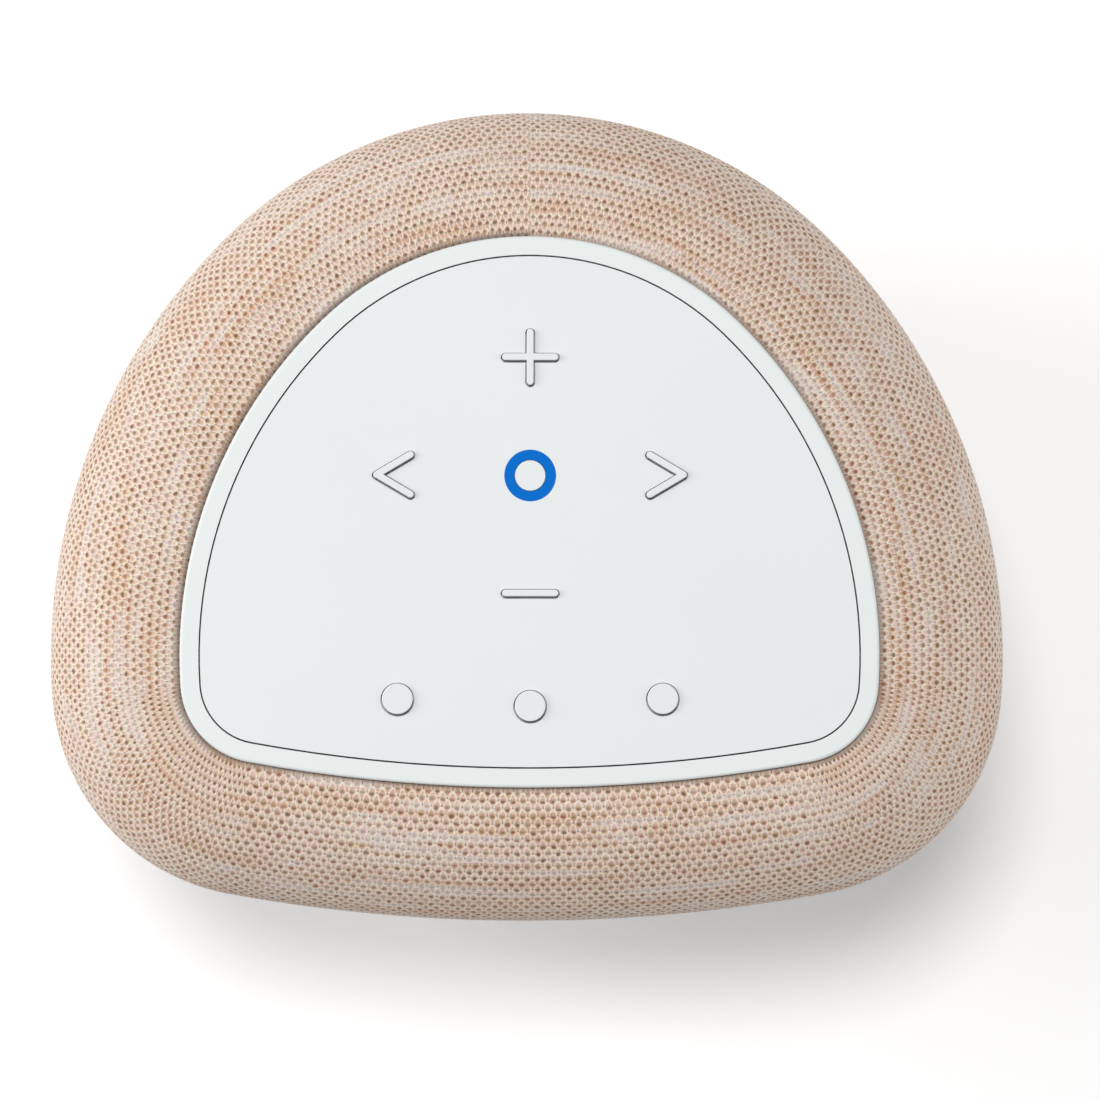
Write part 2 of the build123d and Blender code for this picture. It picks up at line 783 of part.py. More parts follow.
with BuildPart() as ribbon_cable:
    with Locations((*ribbon_place, (main_top + board_bottom) / 2)):
        Box(15, 0.4, board_bottom - main_top)
    with Locations((*ribbon_place, main_top + 1.25), (*ribbon_place, board_bottom - 1.25)):
        Box(18, 3.2, 2.5)
ribbon_cable.part.label = "ribbon_cable"
export_step(ribbon_cable.part, "parts/ribbon_cable.step")

# Power supply in the bay behind the speaker box
supply_face = back_y + box_grow + 3.1
with BuildPart() as power_supply_board:
    with Locations((0, supply_face - board_thickness / 2, 97)):
        Box(56, board_thickness, 70)
    fillet(power_supply_board.edges().filter_by(Axis.Y), 2)
power_supply_board.part.label = "power_supply_board"
export_step(power_supply_board.part, "parts/power_supply_board.step")

with BuildPart() as transformer:
    with Locations((-9, supply_face + 4.2, 86)):
        Box(20, 8.4, 18)
    with Locations((-9, supply_face + 3.4, 86)):
        Box(24, 6.8, 13)
transformer.part.label = "transformer"
export_step(transformer.part, "parts/transformer.step")

with BuildPart() as supply_capacitors:
    with BuildSketch(Plane.XY.offset(72)):
        with Locations((10, supply_face + 3.8), (18.5, supply_face + 3.8)):
            Circle(3.8)
    extrude(amount=18)
    with BuildSketch(Plane.XY.offset(104)):
        with Locations((-8, supply_face + 3.2), (0, supply_face + 3.2)):
            Circle(3.2)
    extrude(amount=13)
    fillet(supply_capacitors.edges().filter_by(GeomType.CIRCLE), 0.6)
supply_capacitors.part.label = "supply_capacitors"
export_step(supply_capacitors.part, "parts/supply_capacitors.step")

# Figure-of-eight mains inlet in a surround that passes through the fabric
inlet_back = 68.0
with BuildPart() as mains_inlet:
    with BuildSketch(Plane.XZ.offset(-inlet_face)):
        with Locations((0, inlet_height)):
            RectangleRounded(inlet_width, inlet_tall, 5.8)
    extrude(amount=7.6)
    chamfer(mains_inlet.faces().sort_by(Axis.Y)[-1].edges(), 0.5)
    with BuildSketch(Plane.XZ.offset(-inlet_back)):
        with Locations((0, inlet_height)):
            RectangleRounded(26, 13.4, 2)
    extrude(amount=-(inlet_face - inlet_back - 4))
    with BuildSketch(Plane.XZ.offset(-inlet_face)):
        with Locations((0, inlet_height)):
            SlotCenterToCenter(pin_spacing, 7.4)
    extrude(amount=12, mode=Mode.SUBTRACT)
    with BuildSketch(Plane.XZ.offset(-inlet_back - 2)):
        with Locations((-pin_spacing / 2, inlet_height), (pin_spacing / 2, inlet_height)):
            Circle(1.2)
    extrude(amount=-11)
mains_inlet.part.label = "mains_inlet"
export_step(mains_inlet.part, "parts/mains_inlet.step")

# Wires: loom from the supply to the main board, leads to each driver and from the inlet
loom_radius = 1.8
loom_start = 132.0
loom_rise = 158.0
lead_start = 119.2
woofer_lead_start = 36.0
loom_place = supply_face - board_thickness / 2
with BuildPart() as internal_wires:
    with BuildLine(Plane.YZ.offset(20)) as loom_path:
        FilletPolyline(
            (loom_place, loom_start), (loom_place, loom_rise), (45, loom_rise), (45, main_top), radius=[8, 4]
        )
    with BuildSketch(Plane.XY.offset(loom_start)):
        with Locations((20, loom_place)):
            Circle(loom_radius)
    sweep(path=loom_path.wires()[0])
    with BuildSketch(Plane.XY.offset(lead_start)):
        with Locations(
            (0, front_y - boss_grow + 12),
            (widest_x + boss_grow - 12, widest_y),
            (-widest_x - boss_grow + 12, widest_y),
        ):
            Circle(1.0)
    extrude(amount=box_top - box_wall - lead_start)
    with BuildSketch(Plane.XY.offset(woofer_lead_start)):
        with Locations((0, 40)):
            Circle(1.0)
    extrude(amount=box_top - box_wall - woofer_lead_start)
    with BuildSketch(Plane.XY.offset(inlet_height + 6.7)):
        with Locations((-5, supply_face + 1.1), (5, supply_face + 1.1)):
            Circle(1.1)
    extrude(amount=20)
internal_wires.part.label = "internal_wires"
export_step(internal_wires.part, "parts/internal_wires.step")

# ---- Base ----

with BuildPart() as base_plate:
    with BuildSketch(Plane.XY.offset(base_bottom)):
        outline_face(base_grow)
    extrude(amount=base_top - base_bottom)
    fillet(base_plate.faces().sort_by(Axis.Z)[-1].edges(), 2.0)
    fillet(base_plate.faces().sort_by(Axis.Z)[0].edges(), 1.2)
    with BuildSketch(Plane.XY.offset(base_bottom)):
        outline_face(base_grow - 4.5)
        outline_face(base_grow - 8.6, mode=Mode.SUBTRACT)
    extrude(amount=foot_height - base_bottom, mode=Mode.SUBTRACT)
    with BuildSketch(Plane.XY.offset(base_bottom)):
        with Locations(*spacer_points):
            Circle(3.3)
    extrude(amount=4, mode=Mode.SUBTRACT)
    with BuildSketch(Plane.XY.offset(base_bottom)):
        with Locations(*spacer_points):
            Circle(1.6)
    extrude(amount=base_top, mode=Mode.SUBTRACT)
base_plate.part.label = "base_plate"
export_step(base_plate.part, "parts/base_plate.step")

with BuildPart() as foot_ring:
    with BuildSketch():
        outline_face(base_grow - 4.6)
        outline_face(base_grow - 8.5, mode=Mode.SUBTRACT)
    extrude(amount=foot_height)
foot_ring.part.label = "foot_ring"
export_step(foot_ring.part, "parts/foot_ring.step")

with BuildPart() as base_spacers:
    with BuildSketch(Plane.XY.offset(base_top)):
        with Locations(*spacer_points):
            Circle(3.5)
        with Locations(*spacer_points):
            Circle(1.6, mode=Mode.SUBTRACT)
    extrude(amount=floor_bottom - base_top)
base_spacers.part.label = "base_spacers"
export_step(base_spacers.part, "parts/base_spacers.step")

with BuildPart() as base_screws:
    with BuildSketch(Plane.XY.offset(base_bottom + 4)):
        with Locations(*spacer_points):
            Circle(2.8)
    extrude(amount=-2)
    fillet(base_screws.faces().sort_by(Axis.Z)[:6].edges(), 0.5)
    with BuildSketch(Plane.XY.offset(base_bottom + 4)):
        with Locations(*spacer_points):
            Circle(1.3)
    extrude(amount=22)
base_screws.part.label = "base_screws"
export_step(base_screws.part, "parts/base_screws.step")

# Low dome under the woofer that turns the sound outwards
with BuildPart() as sound_deflector:
    with BuildSketch(Plane.XZ):
        with BuildLine():
            cap = JernArc((0, base_top + 3.5), (1, 0), 130.3, -13.3)
            Polyline(cap @ 1, (30, base_top), (0, base_top), (0, base_top + 3.5))
        make_face()
    revolve(axis=Axis.Z)
sound_deflector.part.label = "sound_deflector"
export_step(sound_deflector.part, "parts/sound_deflector.step")
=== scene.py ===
import json
from math import cos, pi, radians, sin
import bpy
import numpy as np
from mathutils import Matrix, Vector


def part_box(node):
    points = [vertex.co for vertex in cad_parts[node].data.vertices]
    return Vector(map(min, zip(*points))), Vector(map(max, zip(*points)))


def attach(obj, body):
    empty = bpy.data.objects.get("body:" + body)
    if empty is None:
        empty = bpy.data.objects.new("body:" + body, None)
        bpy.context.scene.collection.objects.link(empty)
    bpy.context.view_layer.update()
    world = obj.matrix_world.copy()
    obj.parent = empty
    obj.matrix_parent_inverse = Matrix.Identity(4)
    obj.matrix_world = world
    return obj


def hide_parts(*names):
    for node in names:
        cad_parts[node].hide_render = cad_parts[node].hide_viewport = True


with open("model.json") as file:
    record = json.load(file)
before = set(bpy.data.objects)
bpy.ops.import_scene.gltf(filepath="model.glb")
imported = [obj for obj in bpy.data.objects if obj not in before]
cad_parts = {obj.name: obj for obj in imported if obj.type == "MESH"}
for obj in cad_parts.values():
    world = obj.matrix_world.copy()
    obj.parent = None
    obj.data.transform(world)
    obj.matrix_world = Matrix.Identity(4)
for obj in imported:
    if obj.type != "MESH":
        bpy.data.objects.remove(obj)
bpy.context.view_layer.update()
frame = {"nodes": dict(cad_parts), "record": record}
print("frame loaded:", len(frame["nodes"]), "nodes")

# node tree helpers

def addNode(tree, kind, **values):
    # values set the node's own properties
    made = tree.nodes.new(kind)
    for key, value in values.items():
        setattr(made, key, value)
    return made


def feed(tree, socket, value):
    # a socket takes another node's output or a plain value
    if isinstance(value, bpy.types.NodeSocket):
        tree.links.new(value, socket)
    else:
        socket.default_value = value


def calc(tree, operation, a, b=0.0):
    made = addNode(tree, "ShaderNodeMath", operation=operation)
    for socket, value in zip(made.inputs, (a, b)):
        feed(tree, socket, value)
    return made.outputs[0]


def smooth(tree, value, low, high):
    # 0 below low, 1 above high, eased between
    made = addNode(tree, "ShaderNodeMapRange", interpolation_type="SMOOTHSTEP")
    for name, item in (("Value", value), ("From Min", low), ("From Max", high)):
        feed(tree, made.inputs[name], item)
    return made.outputs["Result"]


def rescale(tree, value, low, high, newLow, newHigh):
    made = addNode(tree, "ShaderNodeMapRange")
    ends = (("From Min", low), ("From Max", high), ("To Min", newLow), ("To Max", newHigh))
    for name, item in (("Value", value), *ends):
        feed(tree, made.inputs[name], item)
    return made.outputs["Result"]


def blendColour(tree, factor, a, b):
    made = addNode(tree, "ShaderNodeMix", data_type="RGBA")
    feed(tree, made.inputs["Factor"], factor)
    feed(tree, made.inputs["A"], a)
    feed(tree, made.inputs["B"], b)
    return made.outputs["Result"]


def noiseField(tree, vector, scale, detail=3.0, roughness=0.5, distortion=0.0):
    made = addNode(tree, "ShaderNodeTexNoise")
    feed(tree, made.inputs["Vector"], vector)
    amounts = {"Scale": scale, "Detail": detail, "Roughness": roughness, "Distortion": distortion}
    for name, item in amounts.items():
        feed(tree, made.inputs[name], item)
    return made.outputs["Fac"]


def stretch(tree, vector, scale, location=(0, 0, 0)):
    made = addNode(tree, "ShaderNodeMapping")
    feed(tree, made.inputs["Vector"], vector)
    made.inputs["Scale"].default_value = scale
    made.inputs["Location"].default_value = location
    return made.outputs["Vector"]


def newGroup(name, inputs, outputs):
    # inputs are (name, socket type, default); outputs are (name, socket type)
    tree = bpy.data.node_groups.new(name, "ShaderNodeTree")
    for label, kind, value in inputs:
        socket = tree.interface.new_socket(name=label, in_out="INPUT", socket_type=kind)
        if value is not None:
            socket.default_value = value
    for label, kind in outputs:
        tree.interface.new_socket(name=label, in_out="OUTPUT", socket_type=kind)
    return tree, tree.nodes.new("NodeGroupInput"), tree.nodes.new("NodeGroupOutput")


def useGroup(tree, group, **values):
    made = addNode(tree, "ShaderNodeGroup", node_tree=group)
    for name, value in values.items():
        feed(tree, made.inputs[name], value)
    return made


def srgb(red, green, blue):
    # 0 to 255 display values to the linear colour that shaders take
    channels = [value / 255 for value in (red, green, blue)]
    return tuple(c / 12.92 if c <= 0.04045 else ((c + 0.055) / 1.055) ** 2.4 for c in channels) + (1.0,)


def newMaterial(name, roughness=0.5, **sockets):
    # constants go straight on the shader's own sockets
    material = bpy.data.materials.new(name)
    material.use_nodes = True
    tree = material.node_tree
    tree.nodes.clear()
    shader = addNode(tree, "ShaderNodeBsdfPrincipled")
    output = addNode(tree, "ShaderNodeOutputMaterial")
    tree.links.new(shader.outputs["BSDF"], output.inputs["Surface"])
    shader.inputs["Roughness"].default_value = roughness
    for label, value in sockets.items():
        shader.inputs[label.replace("_", " ")].default_value = value
    return material, tree, shader


def objectSpace(tree):
    return addNode(tree, "ShaderNodeTexCoord").outputs["Object"]


def addBump(tree, shader, height, strength, distance):
    made = addNode(tree, "ShaderNodeBump")
    made.inputs["Strength"].default_value = strength
    made.inputs["Distance"].default_value = distance
    feed(tree, made.inputs["Height"], height)
    tree.links.new(made.outputs["Normal"], shader.inputs["Normal"])


# camera

cameraSetup = {
    "stand": (-0.0164, -0.0328),  # where the camera stands, seen from above
    "distance": 0.930,  # above the panel
    "aim": (0.0042, -0.0082),
    "frameWidth": 0.2330,  # at the panel's height
    "sensor": 36.0,
}


def buildCamera(setup):
    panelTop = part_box("control_panel")[1][2]
    place = Vector((*setup["stand"], panelTop + setup["distance"]))
    forward = (Vector((*setup["aim"], panelTop)) - place).normalized()
    right = forward.cross(Vector((0, 1, 0))).normalized()
    up = right.cross(forward)
    data = bpy.data.cameras.new("topCamera")
    data.sensor_width = setup["sensor"]
    data.lens = setup["sensor"] * setup["distance"] / setup["frameWidth"]
    data.clip_start = 0.01
    camera = bpy.data.objects.new("topCamera", data)
    turn = Matrix((right, up, -forward)).transposed().to_4x4()
    camera.matrix_world = Matrix.Translation(place) @ turn
    bpy.context.scene.collection.objects.link(camera)
    bpy.context.scene.camera = camera


buildCamera(cameraSetup)
print("camera placed")

# knitted sleeve

sleeve = {
    "frontRadius": 0.327, "frontTurn": radians(10.4),
    "cornerRadius": 0.0134, "cornerTurn": radians(75.7),
    "sideRadius": 0.095, "sideTurn": radians(49.9),
    "rimWidth": 0.0040,
    "lipStart": 0.0018,
    "shoulderRadius": 0.02975,
    "wallRadius": 0.8367, "wallTurn": radians(8.0),
    "wales": 270.4,
    "rowPitch": 0.00170,
    "perWale": 4,
    "perRow": 3,
    "relief": 0.00020,
    "seamDip": 0.00005, "seamWidth": 0.0006, "seamShift": 0.45,
    "tuckDip": 0.00085, "tuckWidth": 0.0008,
    "windowCorner": 0.0058, "windowMargin": 0.0010,
}


def outlineArcs(setup):
    # right half of the panel outline, as (centre x, centre y, radius, first heading, last heading)
    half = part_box("top_bezel")
    frontY = half[0][1] + setup["rimWidth"]
    turns = [setup["frontTurn"], setup["cornerTurn"], setup["sideTurn"]]
    radii = [setup["frontRadius"], setup["cornerRadius"], setup["sideRadius"]]
    centre = np.array([0.0, frontY + radii[0]])
    heading, arcs = 0.0, []
    for index, (radius, turn) in enumerate(zip(radii, turns)):
        arcs.append((centre[0], centre[1], radius, heading, heading + turn))
        heading += turn
        if index + 1 < len(radii):
            centre = centre + (radius - radii[index + 1]) * np.array([sin(heading), -cos(heading)])
    # the last arc's centre lies on the middle line
    endX = centre[0] + radii[-1] * sin(heading)
    backRadius = endX / sin(heading)
    backY = centre[1] - radii[-1] * cos(heading) + backRadius * cos(heading)
    arcs.append((0.0, backY, backRadius, heading, pi))
    return arcs


def aroundOutline(arcs, grow, share):
    # centres and outward normals at shares of the grown outline, -0.5 to 0.5 from the back seam and round
    lengths = np.array([(arc[2] + grow) * (arc[4] - arc[3]) for arc in arcs])
    ends = np.cumsum(lengths)
    along = np.abs(share) * 2 * ends[-1]
    which = np.minimum(np.searchsorted(ends, along), len(arcs) - 1)
    table = np.array(arcs)[which]
    before = (ends - lengths)[which]
    heading = table[:, 3] + (along - before) / (table[:, 2] + grow)
    side = np.where(share < 0, -1.0, 1.0)
    normal = np.stack([np.sin(heading) * side, -np.cos(heading)], axis=1)
    edge = np.stack([table[:, 0] * side, table[:, 1]], axis=1) + normal * table[:, 2][:, None]
    return edge, normal, 2 * ends[-1]


def alongProfile(setup, distance):
    # at each distance down the body's profile: offset from the panel outline, height, and the angle
    # of the outward normal above level
    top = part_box("fabric_sleeve")[1][2]
    lip = setup["rimWidth"] - setup["lipStart"]
    arc = setup["shoulderRadius"] * pi / 2
    offset, height = np.zeros_like(distance), np.zeros_like(distance)
    lean = np.zeros_like(distance)
    onLip = distance < lip
    offset[onLip] = setup["lipStart"] + distance[onLip]
    height[onLip] = top
    lean[onLip] = pi / 2
    onArc = (distance >= lip) & (distance < lip + arc)
    turned = (distance[onArc] - lip) / setup["shoulderRadius"]
    offset[onArc] = setup["rimWidth"] + setup["shoulderRadius"] * np.sin(turned)
    height[onArc] = top - setup["shoulderRadius"] * (1 - np.cos(turned))
    lean[onArc] = pi / 2 - turned
    onWall = distance >= lip + arc
    turned = (distance[onWall] - lip - arc) / setup["wallRadius"]
    offset[onWall] = setup["rimWidth"] + setup["shoulderRadius"] - setup["wallRadius"] * (1 - np.cos(turned))
    height[onWall] = top - setup["shoulderRadius"] - setup["wallRadius"] * np.sin(turned)
    lean[onWall] = -turned
    return offset, height, lean


def knitRelief(u, v):
    # honeycomb: 1 at each eye of the mesh, -1/3 along the yarn between eyes, -1/2 where three yarns meet
    return (2 * np.cos(2 * pi * u) * np.cos(pi * v) + np.cos(2 * pi * v)) / 3


def inInletWindow(setup, middles):
    # True where a face's middle lies inside the rounded edge of the inlet's surround, by the margin
    inletLow, inletHigh = (np.array(end)[[0, 2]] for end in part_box("mains_inlet"))
    aside = np.abs(middles[:, [0, 2]] - (inletLow + inletHigh) / 2)
    beyond = aside - (inletHigh - inletLow) / 2 + setup["windowCorner"]
    clear = np.hypot(*np.maximum(beyond, 0).T) - setup["windowCorner"]
    clear = clear + np.minimum(beyond.max(axis=1), 0)
    return (clear < -setup["windowMargin"]) & (middles[:, 1] > 0)


def quadPiece(name, points, faces, stitches):
    # stitches holds each face corner's place in wales and courses, as its UV
    mesh = bpy.data.meshes.new(name)
    mesh.vertices.add(len(points))
    mesh.vertices.foreach_set("co", points.astype(np.float32).reshape(-1))
    mesh.loops.add(faces.size)
    mesh.loops.foreach_set("vertex_index", faces.reshape(-1).astype(np.int32))
    mesh.polygons.add(len(faces))
    mesh.polygons.foreach_set("loop_start", np.arange(0, faces.size, 4, dtype=np.int32))
    mesh.polygons.foreach_set("use_smooth", np.ones(len(faces), dtype=bool))
    layer = mesh.uv_layers.new(name="stitches")
    layer.data.foreach_set("uv", stitches.astype(np.float32).reshape(-1))
    mesh.update(calc_edges=True)
    mesh.validate()
    piece = bpy.data.objects.new(name, mesh)
    bpy.context.scene.collection.objects.link(piece)
    return piece


def buildSleeve(setup):
    arcs = outlineArcs(setup)
    grow = setup["rimWidth"] + setup["shoulderRadius"]
    columns = int(setup["wales"] * setup["perWale"])
    wall = setup["wallRadius"] * setup["wallTurn"]
    length = setup["rimWidth"] - setup["lipStart"] + setup["shoulderRadius"] * pi / 2 + wall
    rows = int(round(length / setup["rowPitch"] * setup["perRow"]))
    share = np.linspace(-0.5, 0.5, columns + 1)
    down = np.linspace(0, length, rows + 1)
    edge, normal, girth = aroundOutline(arcs, grow, share)
    offset, height, lean = alongProfile(setup, down)
    # the rows of the two joined ends don't meet at the seam
    u = np.broadcast_to((share + 0.5)[None, :] * setup["wales"], (rows + 1, columns + 1))
    v = down[:, None] / setup["rowPitch"] + share[None, :] * setup["seamShift"]
    # the mesh's eyes sink, the joined ends dip into the seam and the top edge dips under the rim's lip
    fromSeam = (0.5 - np.abs(share)) * girth
    dip = setup["seamDip"] * np.exp(-(fromSeam / setup["seamWidth"]) ** 2)
    fromLip = down - (setup["rimWidth"] - setup["lipStart"])
    tuck = setup["tuckDip"] * np.exp(-(fromLip / setup["tuckWidth"]) ** 2)
    stand = -knitRelief(u, v) * setup["relief"] - dip[None, :] - tuck[:, None]
    reach = offset[:, None] + stand * np.cos(lean)[:, None]
    x = edge[None, :, 0] + normal[None, :, 0] * reach
    y = edge[None, :, 1] + normal[None, :, 1] * reach
    z = height[:, None] + stand * np.sin(lean)[:, None]
    points = np.stack([x, y, z], axis=2).reshape(-1, 3)
    width = columns + 1
    corner = (np.arange(rows)[:, None] * width + np.arange(columns)[None, :]).reshape(-1)
    faces = np.stack([corner, corner + width, corner + width + 1, corner + 1], axis=1)
    faces = faces[~inInletWindow(setup, points[faces].mean(axis=1))]
    stitches = np.stack([u.reshape(-1), v.reshape(-1)], axis=1)[faces.reshape(-1)]
    return quadPiece("knitSleeve", points, faces, stitches), girth, length


knitLook = {
    # cream over sand is partly the yarn's own colour and partly painted highlight: the raised strands are
    # laid lighter than the yarn between them
    "cream": srgb(232, 217, 203),
    "sand": srgb(206, 182, 163),
    # eyeShade and ashShade are painted shade: darker copies of the yarn laid in the mesh's eyes
    "eyeShade": srgb(168, 138, 114),
    # brown, wine and olive are painted shade deep in the eyes' cores
    "brown": srgb(116, 86, 62),
    "wine": srgb(124, 72, 62),
    "olive": srgb(108, 94, 68),
    # pitShade is painted shade, laid in the small dots and along the sleeve's top edge under the rim
    "pitShade": srgb(88, 66, 54),
    "rust": srgb(190, 141, 104),
    "orange": srgb(178, 120, 76),
    "ash": srgb(212, 205, 202),
    "ashShade": srgb(172, 161, 156),
    "streakLength": 20.0,
    "tightCourses": (4.0, 15.0),  # fully tight above the first, slack below the second
    "paleOpening": 0.45,  # how far the eyes of pale courses open, next to the others
    "speck": 0.7,  # how strongly each colour channel is mottled
    "wobble": (0.24, 0.30),  # how far the stitches wander, in wales and in courses
    "fray": 0.26,  # how far stray fibres break up the yarn's edges
    "swing": (2.0, 1.1),  # how strongly the eyes alternate between courses, slack and tight
    "shadeShift": 0.14,  # in courses: the painted shade in the eyes' cores lies this far below the eyes, and the dots of painted shade this far above midway
    "yarnStep": 7.31,  # takes each course to another part of the colour noise
    "groundTint": (0.45, 0.52), "strandTint": (0.2, 0.45), "eyeTint": (0.4, 0.6),  # rust, ash
    "shares": {"Thread": 0.6, "Strand": 0.85, "Eye": 0.62, "CoreShade": 0.95, "Dot": 0.7, "LipShade": 0.6},
    "bump": (0.5, 0.0003),
    "edge": (sleeve["rimWidth"] - sleeve["lipStart"]) / sleeve["rowPitch"],
}


def eyePicks(tree, u, course):
    # random numbers that are the same all over one eye
    offRow = calc(tree, "MULTIPLY", calc(tree, "FLOORED_MODULO", course, 2.0), 0.5)
    wale = calc(tree, "FLOOR", calc(tree, "ADD", calc(tree, "SUBTRACT", u, offRow), 0.5))
    eyePlace = addNode(tree, "ShaderNodeCombineXYZ")
    feed(tree, eyePlace.inputs["X"], wale)
    feed(tree, eyePlace.inputs["Y"], course)
    dice = addNode(tree, "ShaderNodeTexWhiteNoise", noise_dimensions="2D")
    feed(tree, dice.inputs["Vector"], eyePlace.outputs[0])
    picks = addNode(tree, "ShaderNodeSeparateColor")
    feed(tree, picks.inputs[0], dice.outputs["Color"])
    return picks


def yarnRuns(tree, look, u, v, course):
    # each course has its own yarn, whose rust, ash and orange come and go along it
    run = addNode(tree, "ShaderNodeCombineXYZ")
    feed(tree, run.inputs["X"], calc(tree, "DIVIDE", u, look["streakLength"]))
    feed(tree, run.inputs["Y"], calc(tree, "MULTIPLY", course, look["yarnStep"]))
    rust = smooth(tree, noiseField(tree, run.outputs[0], 1.0, 4, 0.65), 0.46, 0.64)
    ashRun = stretch(tree, run.outputs[0], (1.2, 1, 1), (57, 13, 0))
    ash = smooth(tree, noiseField(tree, ashRun, 1.0, 4, 0.65), 0.50, 0.61)
    threadRun = stretch(tree, run.outputs[0], (0.7, 1, 1), (91, 37, 0))
    thread = smooth(tree, noiseField(tree, threadRun, 1.0, 2, 0.6), 0.50, 0.62)
    # the orange thread lies between the eyes of two courses
    between = calc(tree, "MULTIPLY", calc(tree, "COSINE", calc(tree, "MULTIPLY", v, 2 * pi)), -1.0)
    return rust, ash, calc(tree, "MULTIPLY", thread, smooth(tree, between, 0.45, 0.95))


def knitGroup(look):
    # in stitches: X counts wales round the body, Y counts courses down from the sleeve's top edge
    masks = ("Eye", "CoreShade", "Strand", "Dot", "Thread", "Rust", "Ash", "Tint", "LipShade", "Height")
    outputs = [(name, "NodeSocketFloat") for name in masks] + [("Speck", "NodeSocketColor")]
    tree, entry, leave = newGroup("meshKnit", [("Vector", "NodeSocketVector", None)], outputs)
    place = entry.outputs["Vector"]
    parts = addNode(tree, "ShaderNodeSeparateXYZ")
    feed(tree, parts.inputs[0], place)
    # a slow wobble keeps the stitches from being perfectly regular
    sway = noiseField(tree, stretch(tree, place, (0.8, 0.8, 1)), 1.0, 2)
    lift = noiseField(tree, stretch(tree, place, (0.8, 0.8, 1), (31, 7, 0)), 1.0, 2)
    wobbleU, wobbleV = look["wobble"]
    u = calc(tree, "ADD", parts.outputs["X"], rescale(tree, sway, 0, 1, -wobbleU, wobbleU))
    v = calc(tree, "ADD", parts.outputs["Y"], rescale(tree, lift, 0, 1, -wobbleV, wobbleV))
    waveU = calc(tree, "COSINE", calc(tree, "MULTIPLY", u, 2 * pi))
    fibre = noiseField(tree, stretch(tree, place, (6, 5, 1)), 1.0, 5, 0.7, 0.5)
    rough = rescale(tree, fibre, 0.2, 0.8, -look["fray"], look["fray"])
    # close to the rim the sleeve is drawn tight, so that its courses read as lines
    tight = calc(tree, "SUBTRACT", 1.0, smooth(tree, parts.outputs["Y"], *look["tightCourses"]))
    swing = rescale(tree, tight, 0, 1, *look["swing"])

    def checks(shift):
        # 1 at each eye, -1 half way between two eyes of a course
        moved = calc(tree, "SUBTRACT", v, shift)
        return calc(tree, "MULTIPLY", waveU, calc(tree, "COSINE", calc(tree, "MULTIPLY", moved, pi)))

    def honeycomb(shift):
        # 1 at each eye, at most 0 between two eyes and where three yarns meet, and then frayed
        moved = calc(tree, "SUBTRACT", v, shift)
        rowWave = calc(tree, "COSINE", calc(tree, "MULTIPLY", moved, 2 * pi))
        both = calc(tree, "ADD", calc(tree, "MULTIPLY", checks(shift), swing), rowWave)
        return calc(tree, "ADD", calc(tree, "DIVIDE", both, calc(tree, "ADD", swing, 1.0)), rough)

    def slantedYarn(slant):
        # 1 along the yarns that lean one way between the eyes
        across = calc(tree, "ADD", u, calc(tree, "MULTIPLY", v, slant / 2))
        wave = calc(tree, "COSINE", calc(tree, "MULTIPLY", across, 2 * pi))
        return smooth(tree, calc(tree, "SUBTRACT", rough, wave), 0.66, 1.0)

    course = calc(tree, "FLOOR", calc(tree, "ADD", v, 0.5))
    picks = eyePicks(tree, u, course)
    rust, ash, thread = yarnRuns(tree, look, u, v, course)
    # pale yarn is fuller, so its eyes partly close, and none lies on the seam itself
    half = sleeve["wales"] / 2
    fromMiddle = calc(tree, "ABSOLUTE", calc(tree, "SUBTRACT", parts.outputs["X"], half))
    seamGap = smooth(tree, calc(tree, "SUBTRACT", half, fromMiddle), 0.05, 0.3)
    opening = calc(tree, "MULTIPLY", seamGap, rescale(tree, ash, 0, 1, 1.0, look["paleOpening"]))
    # painted shade is laid where the mesh's eyes open
    eye = calc(tree, "MULTIPLY", smooth(tree, honeycomb(0.0), 0.10, 0.55), opening)
    # painted shade deep in each eye, set a little down the course from the eye's middle
    coreShade = smooth(tree, honeycomb(look["shadeShift"]), 0.34, 0.80)
    depth = rescale(tree, picks.outputs[0], 0, 1, 0.45, 1.0)
    coreShade = calc(tree, "MULTIPLY", calc(tree, "MULTIPLY", coreShade, opening), depth)
    # the raised strands, whose lighter colour is partly painted highlight
    strand = calc(tree, "MAXIMUM", slantedYarn(1), slantedYarn(-1))
    # small dots of painted shade, a little off midway between two eyes of a course
    dotShadeField = calc(tree, "SUBTRACT", calc(tree, "MULTIPLY", rough, 0.3), checks(-look["shadeShift"]))
    dotShade = smooth(tree, dotShadeField, 0.80, 0.97)
    # painted shade along the sleeve's top edge, where it runs under the rim's lip
    edge = calc(tree, "SUBTRACT", 1.0, smooth(tree, parts.outputs["Y"], look["edge"], look["edge"] + 0.8))
    speck = addNode(tree, "ShaderNodeTexNoise")
    feed(tree, speck.inputs["Vector"], stretch(tree, place, (4, 4, 1), (5, 71, 0)))
    speck.inputs["Scale"].default_value = 1.0
    speck.inputs["Detail"].default_value = 3.0
    height = calc(tree, "SUBTRACT", calc(tree, "MULTIPLY", strand, 0.5), calc(tree, "MULTIPLY", eye, 0.4))
    height = calc(tree, "SUBTRACT", height, calc(tree, "MULTIPLY", coreShade, 0.6))
    height = calc(tree, "SUBTRACT", height, calc(tree, "MULTIPLY", dotShade, 0.8))
    height = calc(tree, "ADD", height, calc(tree, "MULTIPLY", fibre, 0.8))
    values = (eye, coreShade, strand, dotShade, thread, rust, ash, picks.outputs[1], edge, height)
    for name, value in zip(masks, values):
        feed(tree, leave.inputs[name], value)
    feed(tree, leave.inputs["Speck"], speck.outputs["Color"])
    return tree


